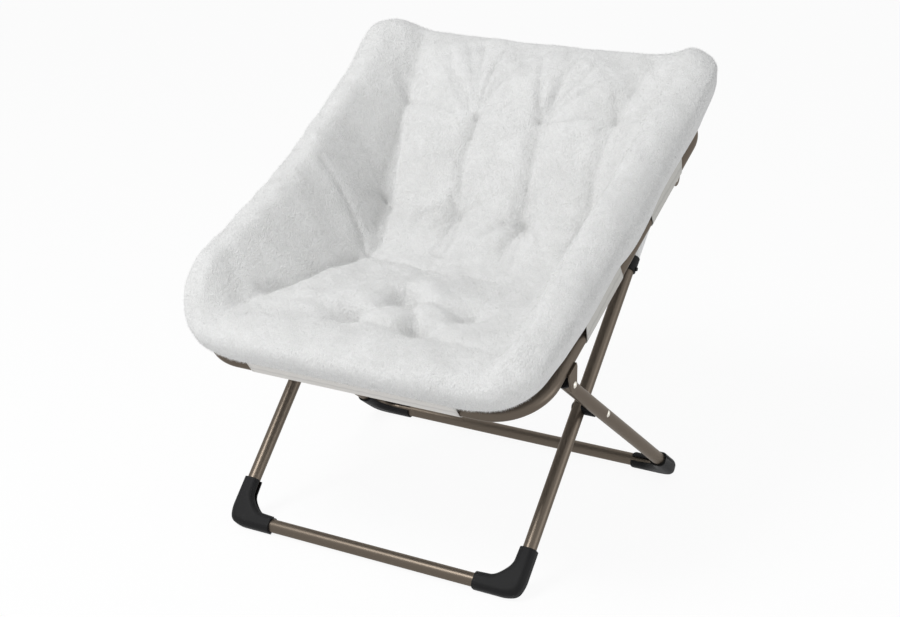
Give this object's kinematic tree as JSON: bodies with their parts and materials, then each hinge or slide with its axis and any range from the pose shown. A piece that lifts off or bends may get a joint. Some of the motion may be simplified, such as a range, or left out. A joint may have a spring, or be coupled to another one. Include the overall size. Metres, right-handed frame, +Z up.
{
  "type": "folding padded lounge chair",
  "caption": "Padded folding lounge chair: a tufted white cushion with raised wings on a tilted ring of steel tube, carried by two crossed leg frames that fold.",
  "frame": {"origin": "on the floor, under the centre of the open chair's box", "axes": "+Z up, the sitter looks along -Y, +X across the seat"},
  "size_m": [0.6634, 0.7157, 0.7472],
  "materials": {
    "tube": "satin bronze paint",
    "zinc": "bright zinc rivets",
    "plastic": "black moulding",
    "sleeve": "woven lining cloth",
    "pocket": "white cloth",
    "fur": "short white faux fur"
  },
  "bodies": {
    "back_frame": {"back_frame_tube": "tube", "hinge_leaf_back_left": "tube", "hinge_leaf_back_right": "tube", "hinge_rivet_left": "zinc", "hinge_rivet_right": "zinc", "back_plate_left": "tube", "back_plate_right": "tube", "back_plate_bush_left": "plastic", "back_plate_bush_right": "plastic", "back_plate_rivet_left": "zinc", "back_plate_rivet_right": "zinc", "upper_sleeve_left": "sleeve", "upper_sleeve_right": "sleeve", "hinge_sleeve_back_left": "sleeve", "hinge_sleeve_back_right": "sleeve", "back_side_left": "fur", "back_side_right": "fur", "top_sleeve": "sleeve", "top_roll": "fur", "back_pad": "fur"},
    "seat_frame": {"seat_frame_tube": "tube", "hinge_leaf_seat_left": "tube", "hinge_leaf_seat_right": "tube", "leg_clevis_left": "tube", "leg_clevis_right": "tube", "leg_clevis_rivet_left": "zinc", "leg_clevis_rivet_right": "zinc", "hinge_sleeve_seat_left": "sleeve", "hinge_sleeve_seat_right": "sleeve", "wing_left": "fur", "wing_right": "fur", "front_sleeve": "sleeve", "front_roll": "fur", "seat_pad": "fur"},
    "front_legs": {"front_leg_frame": "tube", "front_foot_left": "plastic", "front_foot_right": "plastic", "front_leg_plug_left": "plastic", "front_leg_plug_right": "plastic", "leg_collar_left": "plastic", "leg_collar_right": "plastic", "leg_pocket_left": "pocket", "leg_pocket_right": "pocket", "crossing_spacer_left": "plastic", "crossing_spacer_right": "plastic", "crossing_rivet_inner_left": "zinc", "crossing_rivet_inner_right": "zinc"},
    "rear_legs": {"rear_leg_frame": "tube", "rear_foot_left": "plastic", "rear_foot_right": "plastic", "rear_leg_plug_left": "plastic", "rear_leg_plug_right": "plastic", "crossing_rivet_outer_left": "zinc", "crossing_rivet_outer_right": "zinc"}
  },
  "joints": [
    {"name": "ring_fold", "type": "hinge", "parent": "back_frame", "child": "seat_frame", "pos_m": [0, -0.09359, 0.42889], "axis": [-1, 0, 0], "range_deg": [0, 150], "deforming": ["wing_left", "wing_right"]},
    {"name": "front_leg_turn", "type": "hinge", "parent": "back_frame", "child": "front_legs", "pos_m": [0, 0.25304, 0.53943], "axis": [-1, 0, 0], "range_deg": [0, 29.52]},
    {"name": "rear_leg_turn", "type": "hinge", "parent": "seat_frame", "child": "rear_legs", "pos_m": [0, -0.18845, 0.33367], "axis": [1, 0, 0], "range_deg": [0, 58.97]}
  ],
  "couplings": [
    {"joint": "front_leg_turn", "follows": "ring_fold", "ratio": 0.19647},
    {"joint": "rear_leg_turn", "follows": "ring_fold", "ratio": 0.3928}
  ]
}
